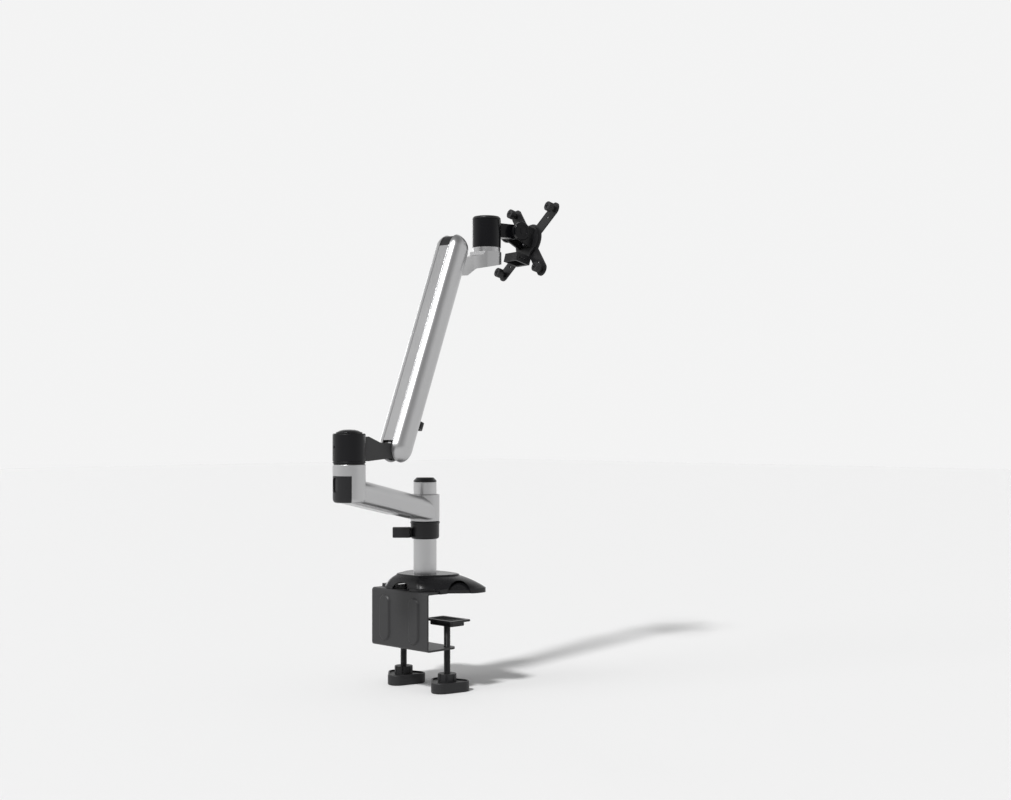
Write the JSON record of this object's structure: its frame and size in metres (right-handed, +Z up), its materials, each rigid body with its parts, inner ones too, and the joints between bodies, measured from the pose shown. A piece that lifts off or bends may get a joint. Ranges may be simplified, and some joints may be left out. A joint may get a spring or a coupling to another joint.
{
  "type": "monitor arm",
  "caption": "Desk-clamp monitor arm: winged base, height collar on a pole, two-part arm with a gas spring, swivel and tilt head with a cross-shaped plate.",
  "frame": {"origin": "on the pole axis, at the underside of the clamp's upper flange, where it rests on the desk top", "axes": "+Z up along the pole, +Y over the desk towards the user, +X along the desk edge"},
  "size_m": [0.1872, 0.4372, 0.749],
  "materials": {
    "silver_paint": "satin silver paint",
    "pole_steel": "fine satin",
    "zinc_steel": "plain",
    "black_paint": "satin powder coat",
    "black_plastic": "fine grain",
    "black_gloss": "smooth",
    "black_rubber": "soft matte"
  },
  "bodies": {
    "base": {"clamp_bracket": "black_paint", "foot_screw_1": "zinc_steel", "foot_screw_2": "zinc_steel", "foot_screw_3": "zinc_steel", "foot_screw_4": "zinc_steel", "pole": "pole_steel", "pole_cap": "black_plastic", "base_cover": "black_plastic"},
    "left_pad": {"left_pressure_pad": "black_plastic", "left_pad_rubber": "black_rubber"},
    "left_screw": {"left_clamp_screw": "black_paint", "left_clamp_knob": "black_plastic"},
    "right_pad": {"right_pressure_pad": "black_plastic", "right_pad_rubber": "black_rubber"},
    "right_screw": {"right_clamp_screw": "black_paint", "right_clamp_knob": "black_plastic"},
    "collar": {"height_collar": "black_plastic", "collar_bolt": "zinc_steel"},
    "lever": {"collar_lever": "black_plastic", "lever_pin": "zinc_steel"},
    "lower_arm": {"lower_arm": "silver_paint", "hub_bush_lower": "black_plastic", "hub_bush_upper": "black_plastic", "lower_cable_cover": "silver_paint", "elbow_insert": "black_plastic", "elbow_axle": "zinc_steel", "elbow_nut": "zinc_steel"},
    "elbow": {"elbow_washer": "black_plastic", "pivot_bracket": "black_paint", "elbow_housing": "black_plastic", "elbow_cap": "black_plastic", "link_pin_lower": "zinc_steel", "spring_pin_lower": "zinc_steel"},
    "upper_arm": {"upper_arm_shell": "silver_paint", "lower_pivot_pin": "zinc_steel", "upper_pivot_pin": "zinc_steel", "upper_arm_cover": "silver_paint", "upper_end_plug": "black_plastic", "cable_clip": "black_plastic", "gas_spring_cylinder": "black_paint", "spring_pin_upper": "zinc_steel"},
    "spring_rod": {"gas_spring_rod": "zinc_steel"},
    "parallel_link": {"parallel_link": "zinc_steel"},
    "head_bracket": {"head_bracket": "silver_paint", "link_pin_upper": "zinc_steel", "head_axle": "zinc_steel"},
    "head_swivel": {"swivel_housing": "black_gloss", "swivel_cap": "black_plastic"},
    "tilt": {"tilt_bracket": "black_paint", "tilt_axle": "zinc_steel", "tilt_disc_left": "black_plastic", "tilt_disc_right": "black_plastic"},
    "plate": {"vesa_plate": "black_paint", "plate_pivot": "zinc_steel", "thumbscrew_1": "black_plastic", "thumbscrew_2": "black_plastic", "thumbscrew_3": "black_plastic", "thumbscrew_4": "black_plastic"}
  },
  "joints": [
    {"name": "left_pad_slide", "type": "slide", "parent": "base", "child": "left_pad", "axis": [0, 0, 1], "range_m": [-0.029, 0.033]},
    {"name": "left_screw_turn", "type": "hinge", "parent": "left_pad", "child": "left_screw", "pos_m": [-0.0495, 0, -0.085], "axis": [0, 0, 1], "range_deg": [-6950, 7910]},
    {"name": "right_pad_slide", "type": "slide", "parent": "base", "child": "right_pad", "axis": [0, 0, 1], "range_m": [-0.029, 0.033]},
    {"name": "right_screw_turn", "type": "hinge", "parent": "right_pad", "child": "right_screw", "pos_m": [0.0495, 0, -0.085], "axis": [0, 0, 1], "range_deg": [-6950, 7910]},
    {"name": "height_slide", "type": "slide", "parent": "base", "child": "collar", "axis": [0, 0, 1], "range_m": [-0.017, 0.018]},
    {"name": "lever_swing", "type": "hinge", "parent": "collar", "child": "lever", "pos_m": [-0.00827, -0.02892, 0.088], "axis": [0, 0, 1], "range_deg": [0, 100]},
    {"name": "arm_turn", "type": "hinge", "parent": "collar", "child": "lower_arm", "pos_m": [0, 0, 0.12], "axis": [0, 0, 1], "continuous": true},
    {"name": "elbow_turn", "type": "hinge", "parent": "lower_arm", "child": "elbow", "pos_m": [0.05993, -0.19479, 0.196], "axis": [0, 0, 1], "continuous": true},
    {"name": "lift", "type": "hinge", "parent": "elbow", "child": "upper_arm", "pos_m": [0.04799, -0.10034, 0.213], "axis": [0.9921, 0.1253, 0], "range_deg": [-67, 8]},
    {"name": "link_follow", "type": "hinge", "parent": "elbow", "child": "parallel_link", "pos_m": [0.04891, -0.10759, 0.22252], "axis": [0.9921, 0.1253, 0], "range_deg": [-67, 8]},
    {"name": "spring_stroke", "type": "slide", "parent": "upper_arm", "child": "spring_rod", "axis": [-0.049, 0.3877, 0.9205], "range_m": [-0.0016, 0.0134]},
    {"name": "head_level", "type": "hinge", "parent": "upper_arm", "child": "head_bracket", "pos_m": [0.03299, 0.01843, 0.49504], "axis": [0.9921, 0.1253, 0], "range_deg": [-8, 67]},
    {"name": "head_turn", "type": "hinge", "parent": "head_bracket", "child": "head_swivel", "pos_m": [0.02148, 0.10951, 0.52704], "axis": [0, 0, 1], "range_deg": [-70, 105]},
    {"name": "tilt", "type": "hinge", "parent": "head_swivel", "child": "tilt", "pos_m": [0.03001, 0.16334, 0.55604], "axis": [-0.9877, 0.1564, 0], "range_deg": [-60, 10]},
    {"name": "plate_turn", "type": "hinge", "parent": "tilt", "child": "plate", "pos_m": [0.0347, 0.19293, 0.5421], "axis": [0.1515, 0.9562, -0.2504], "range_deg": [-90, 90]}
  ],
  "couplings": [
    {"joint": "left_pad_slide", "follows": "left_screw_turn", "m_per_rad": 0.00023873},
    {"joint": "right_pad_slide", "follows": "right_screw_turn", "m_per_rad": 0.00023873},
    {"joint": "link_follow", "follows": "lift", "ratio": 1},
    {"joint": "head_level", "follows": "lift", "ratio": -1},
    {"joint": "spring_stroke", "follows": "lift", "m_per_rad": -0.01142}
  ]
}
